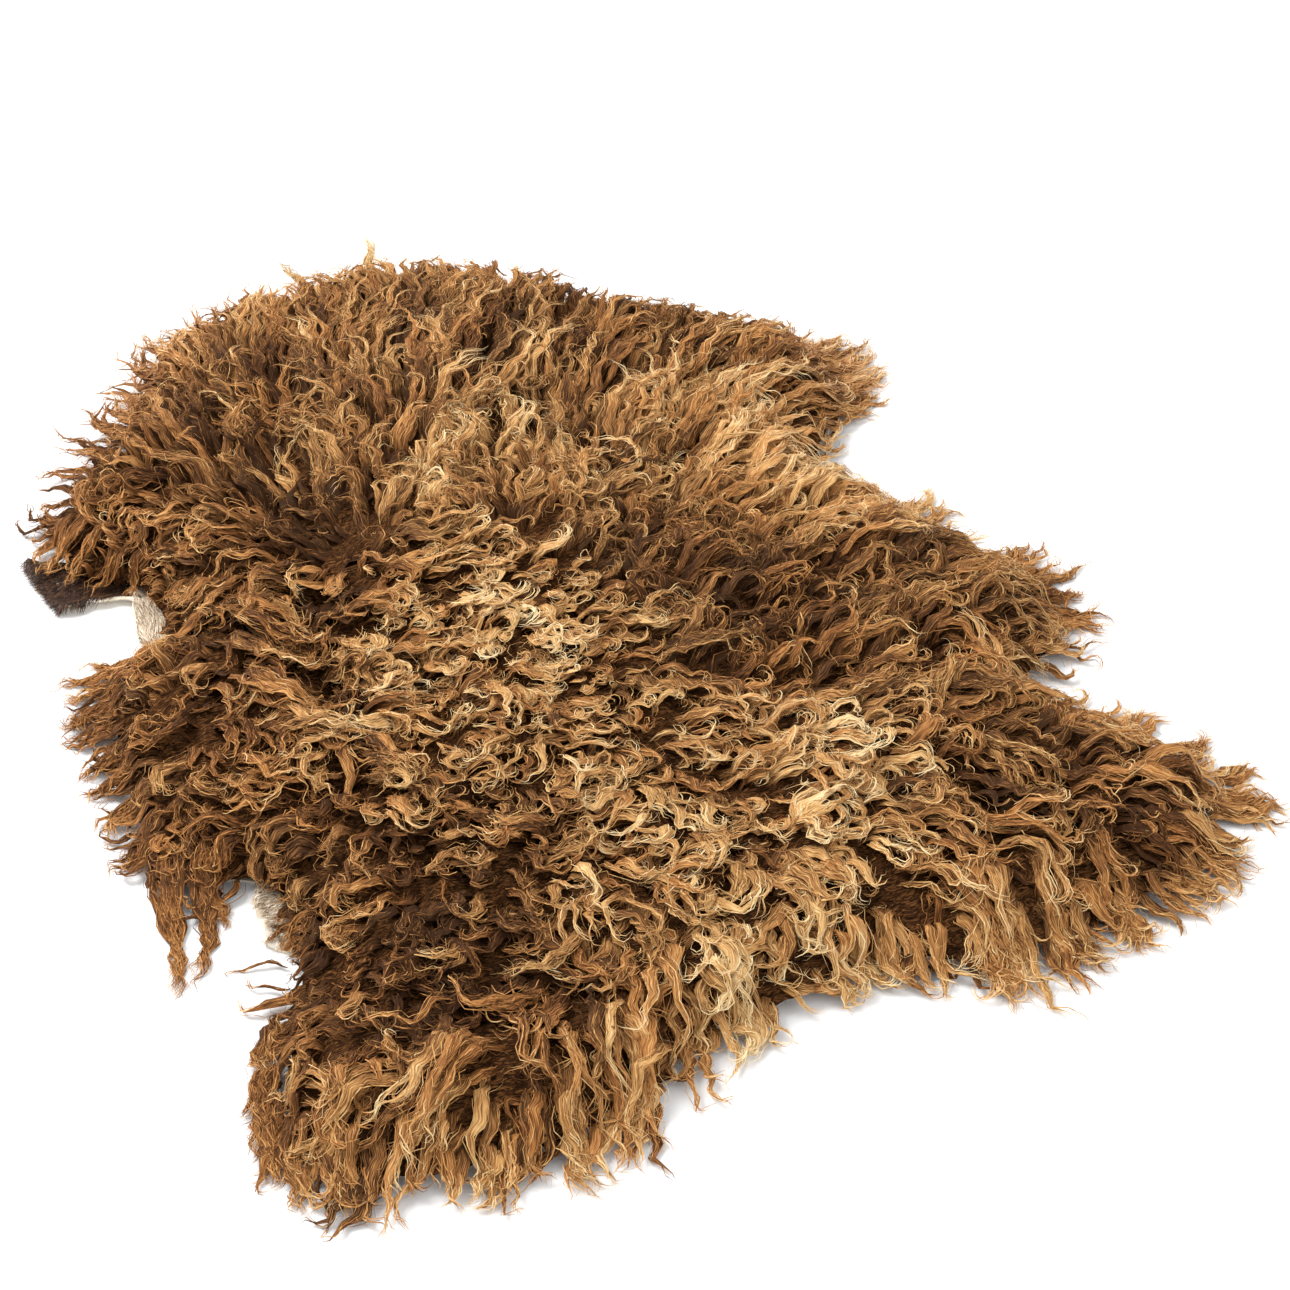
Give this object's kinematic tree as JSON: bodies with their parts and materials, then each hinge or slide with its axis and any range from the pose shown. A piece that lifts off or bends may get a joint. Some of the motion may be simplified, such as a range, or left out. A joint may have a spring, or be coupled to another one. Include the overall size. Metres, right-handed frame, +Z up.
{
  "type": "sheepskin",
  "caption": "Long-woolled brown sheepskin lying flat, wool side up, with the animal's outline, locks hanging over its rim and a bare curled foreleg end.",
  "frame": {"origin": "on the floor under the middle of the whole sheepskin's box", "axes": "+Y along the spine towards the neck, +X towards the right-hand legs seen from above, +Z up"},
  "size_m": [0.8634, 1.235, 0.0716],
  "materials": {
    "hide": "matte cream suede",
    "fleece": "long wavy wool, brown with golden tips"
  },
  "bodies": {
    "root": {"hide": "hide", "fleece": "fleece"}
  },
  "joints": []
}
